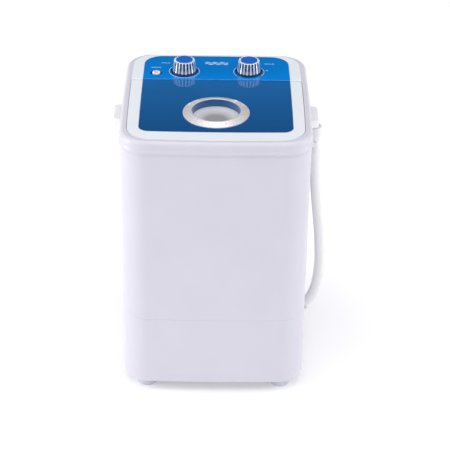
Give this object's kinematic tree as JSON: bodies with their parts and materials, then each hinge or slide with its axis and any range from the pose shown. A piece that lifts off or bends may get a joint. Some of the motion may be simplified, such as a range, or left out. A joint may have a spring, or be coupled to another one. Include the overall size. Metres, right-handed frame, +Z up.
{
  "type": "top load washing machine",
  "caption": "Compact top load washing machine: white casing, blue lid window with a grip ring, two dial knobs, side handles and a drain hose hung on its side.",
  "frame": {"origin": "on the floor, under the middle of the cabinet", "axes": "+Z up, the front faces -Y, +X to the right seen from the front"},
  "size_m": [0.4303, 0.3974, 0.5965],
  "materials": {
    "casing_white": "satin moulded plastic",
    "deck_white": "glossy moulded plastic",
    "handle_white": "satin moulded plastic",
    "panel_blue": "glossy, tinted",
    "window_blue": "glossy, translucent tint",
    "ring_silver": "satin plated",
    "dish_grey": "satin",
    "knob_chrome": "plated",
    "knob_cap_blue": "glossy",
    "steel": "zinc plated",
    "switch_body": "moulded",
    "nozzle_white": "satin",
    "duct_grey": "moulded",
    "hose_translucent": "translucent soft PVC",
    "cuff_white": "moulded",
    "tub_plastic": "moulded polypropylene",
    "basket_plastic": "moulded polypropylene",
    "pulsator_plastic": "moulded polypropylene",
    "rubber_black": "moulded",
    "rubber_grey": "moulded",
    "housing_metal": "die cast",
    "pulley_alloy": "machined",
    "motor_paint": "painted",
    "plate_steel": "galvanised",
    "capacitor_shell": "smooth",
    "filter_blue": "moulded",
    "cover_grey": "moulded",
    "foot_plastic": "matte"
  },
  "bodies": {
    "root": {"base_pan": "casing_white", "base_skirt": "casing_white", "bearing_housing": "housing_metal", "bottom_cover": "cover_grey", "cabinet": "casing_white", "capacitor": "capacitor_shell", "carry_handle_left": "handle_white", "carry_handle_right": "handle_white", "case_screws": "steel", "control_housing": "deck_white", "control_panel": "panel_blue", "cord_gland": "rubber_grey", "drain_duct": "duct_grey", "drain_elbow": "duct_grey", "drain_hose": "hose_translucent", "drain_hose_cuff": "cuff_white", "drain_strainer": "duct_grey", "drive_belt": "rubber_black", "foot_front_left": "foot_plastic", "foot_front_right": "foot_plastic", "foot_rear_left": "foot_plastic", "foot_rear_right": "foot_plastic", "foot_screws": "steel", "hose_clip": "cuff_white", "inlet_duct": "duct_grey", "lint_filter": "filter_blue", "lower_bearing": "steel", "motor": "motor_paint", "motor_bolts": "steel", "motor_grommets": "rubber_black", "motor_plate": "plate_steel", "rear_cover": "casing_white", "selector_switch": "switch_body", "top_collar": "deck_white", "upper_bearing": "steel", "wash_timer": "switch_body", "wash_tub": "tub_plastic", "water_inlet_nozzle": "nozzle_white", "water_seal": "rubber_black"},
    "lid": {"lid_frame": "deck_white", "lid_window": "window_blue", "lid_grip_ring": "ring_silver", "lid_grip_dish": "dish_grey", "hinge_pin_left": "steel", "hinge_pin_right": "steel"},
    "timer_knob": {"timer_knob": "knob_chrome", "timer_knob_cap": "knob_cap_blue", "timer_shaft": "steel"},
    "selector_knob": {"selector_knob": "knob_chrome", "selector_knob_cap": "knob_cap_blue", "selector_shaft": "steel"},
    "drive": {"pulsator": "pulsator_plastic", "pulsator_screw": "steel", "drive_shaft": "steel", "drive_pulley": "pulley_alloy", "pulley_nut": "steel", "spin_basket": "basket_plastic"},
    "motor_rotor": {"motor_shaft": "steel", "motor_pulley": "pulley_alloy"}
  },
  "joints": [
    {"name": "lid_hinge", "type": "hinge", "parent": "root", "child": "lid", "pos_m": [0, 0.0672, 0.5654], "axis": [-1, 0, 0], "range_deg": [0, 95]},
    {"name": "timer_knob_turn", "type": "hinge", "parent": "root", "child": "timer_knob", "pos_m": [-0.0645, 0.109, 0.57], "axis": [0, 0, -1], "range_deg": [0, 300]},
    {"name": "selector_knob_turn", "type": "hinge", "parent": "root", "child": "selector_knob", "pos_m": [0.0645, 0.109, 0.57], "axis": [0, 0, -1], "range_deg": [-60, 60]},
    {"name": "pulsator_spin", "type": "hinge", "parent": "root", "child": "drive", "pos_m": [0, -0.047, 0.1], "axis": [0, 0, 1], "continuous": true},
    {"name": "motor_spin", "type": "hinge", "parent": "root", "child": "motor_rotor", "pos_m": [0, 0.088, 0.1], "axis": [0, 0, 1], "continuous": true}
  ],
  "couplings": [
    {"joint": "motor_spin", "follows": "pulsator_spin", "ratio": 4}
  ]
}
